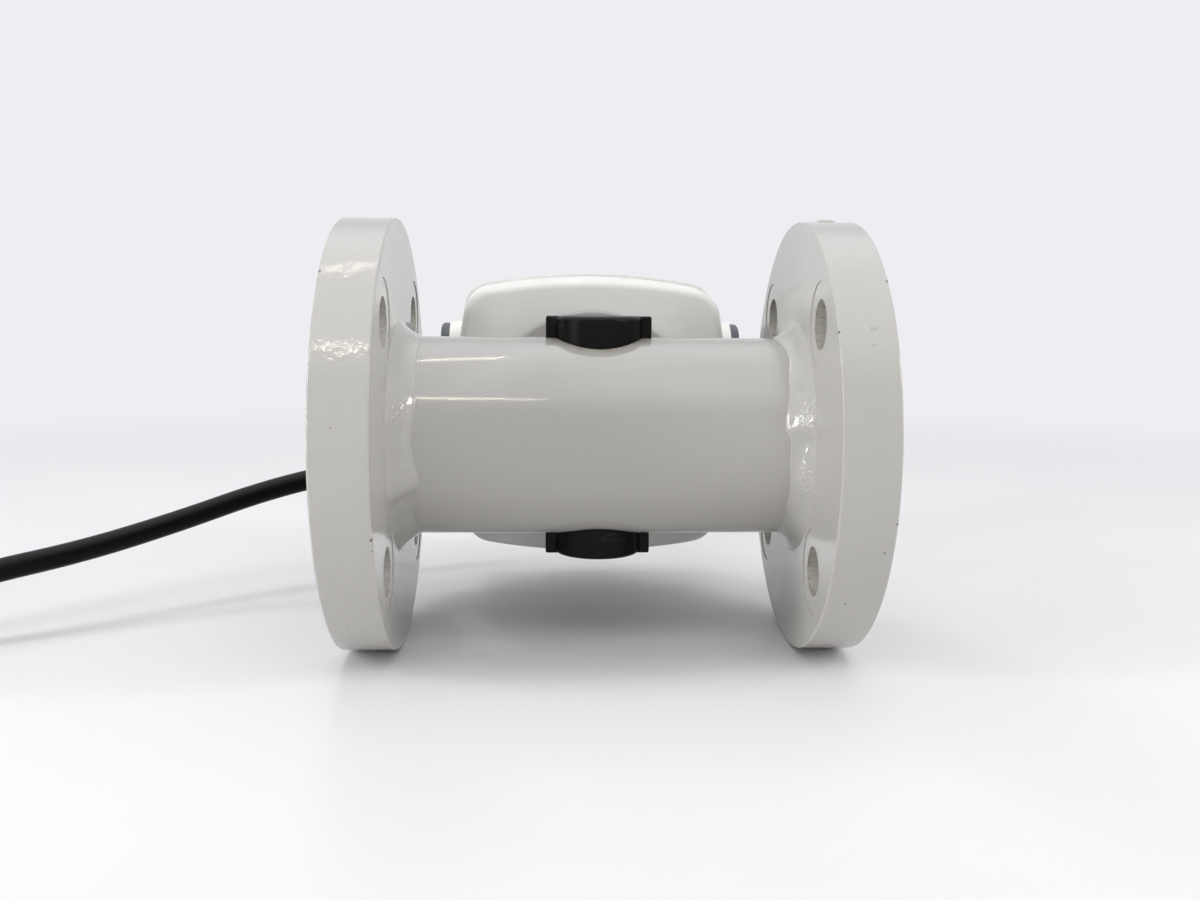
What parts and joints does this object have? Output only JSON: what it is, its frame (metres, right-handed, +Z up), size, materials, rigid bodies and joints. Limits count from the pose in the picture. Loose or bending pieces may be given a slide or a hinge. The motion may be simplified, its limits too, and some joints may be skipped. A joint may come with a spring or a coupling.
{
  "type": "electromagnetic flow meter",
  "caption": "Flanged electromagnetic flow meter with a lined bore, electrode caps, a compact converter housing on a neck, and a cable through a gland.",
  "frame": {"origin": "centre of the flow bore, midway between the flange faces", "axes": "+X along the bore in the flow direction, +Y towards the converter, +Z up as the meter lies on its flange rims"},
  "size_m": [0.53, 0.2195, 0.165],
  "materials": {
    "body_paint": "gloss light grey paint",
    "bare_steel": "machined, dull",
    "liner_rubber": "smooth matt",
    "copper_coil": "varnished copper wire",
    "core_iron": "dull",
    "electrode_alloy": "polished",
    "insulator": "matt",
    "black_plastic": "satin moulded",
    "seal_rubber": "matt",
    "housing_plastic": "satin moulded",
    "plug_plastic": "satin moulded",
    "screw_steel": "zinc plated",
    "clear_window": "clear, gloss",
    "display": "satin",
    "circuit_board": "satin",
    "board_parts": "satin",
    "terminal_plastic": "satin",
    "cable_sheath": "satin",
    "core_insulation": "satin",
    "ferrule_metal": "tinned"
  },
  "bodies": {
    "root": {"inlet_flange": "body_paint", "outlet_flange": "body_paint", "inlet_weld": "body_paint", "outlet_weld": "body_paint", "outer_tube": "body_paint", "measuring_pipe": "bare_steel", "liner": "liner_rubber", "field_coil_far": "copper_coil", "field_coil_near": "copper_coil", "pole_shoe_far": "core_iron", "pole_shoe_near": "core_iron", "electrode_upper": "electrode_alloy", "electrode_lower": "electrode_alloy", "electrode_socket_upper": "bare_steel", "electrode_socket_lower": "bare_steel", "electrode_bush_upper": "insulator", "electrode_bush_lower": "insulator", "electrode_nuts": "screw_steel", "electrode_cap_upper": "black_plastic", "electrode_cap_lower": "black_plastic", "cap_seals": "seal_rubber", "neck_tube": "body_paint", "neck_weld": "body_paint", "mounting_plate": "body_paint", "housing_gasket": "seal_rubber", "housing_screws": "screw_steel", "converter_base": "housing_plastic", "lid_gasket": "seal_rubber", "converter_lid": "housing_plastic", "lid_screws": "screw_steel", "display_window": "clear_window", "display_module": "display", "main_board": "circuit_board", "board_screws": "screw_steel", "board_components": "board_parts", "terminal_block": "terminal_plastic", "blanking_plug_right_upper": "plug_plastic", "blanking_plug_right_lower": "plug_plastic", "blanking_plug_left_upper": "plug_plastic", "entry_seals": "seal_rubber", "gland_body": "black_plastic", "gland_seal": "seal_rubber", "gland_nut": "black_plastic", "cable": "cable_sheath", "cable_coil": "cable_sheath", "cable_cores": "core_insulation", "wire_ferrules": "ferrule_metal"}
  },
  "joints": []
}
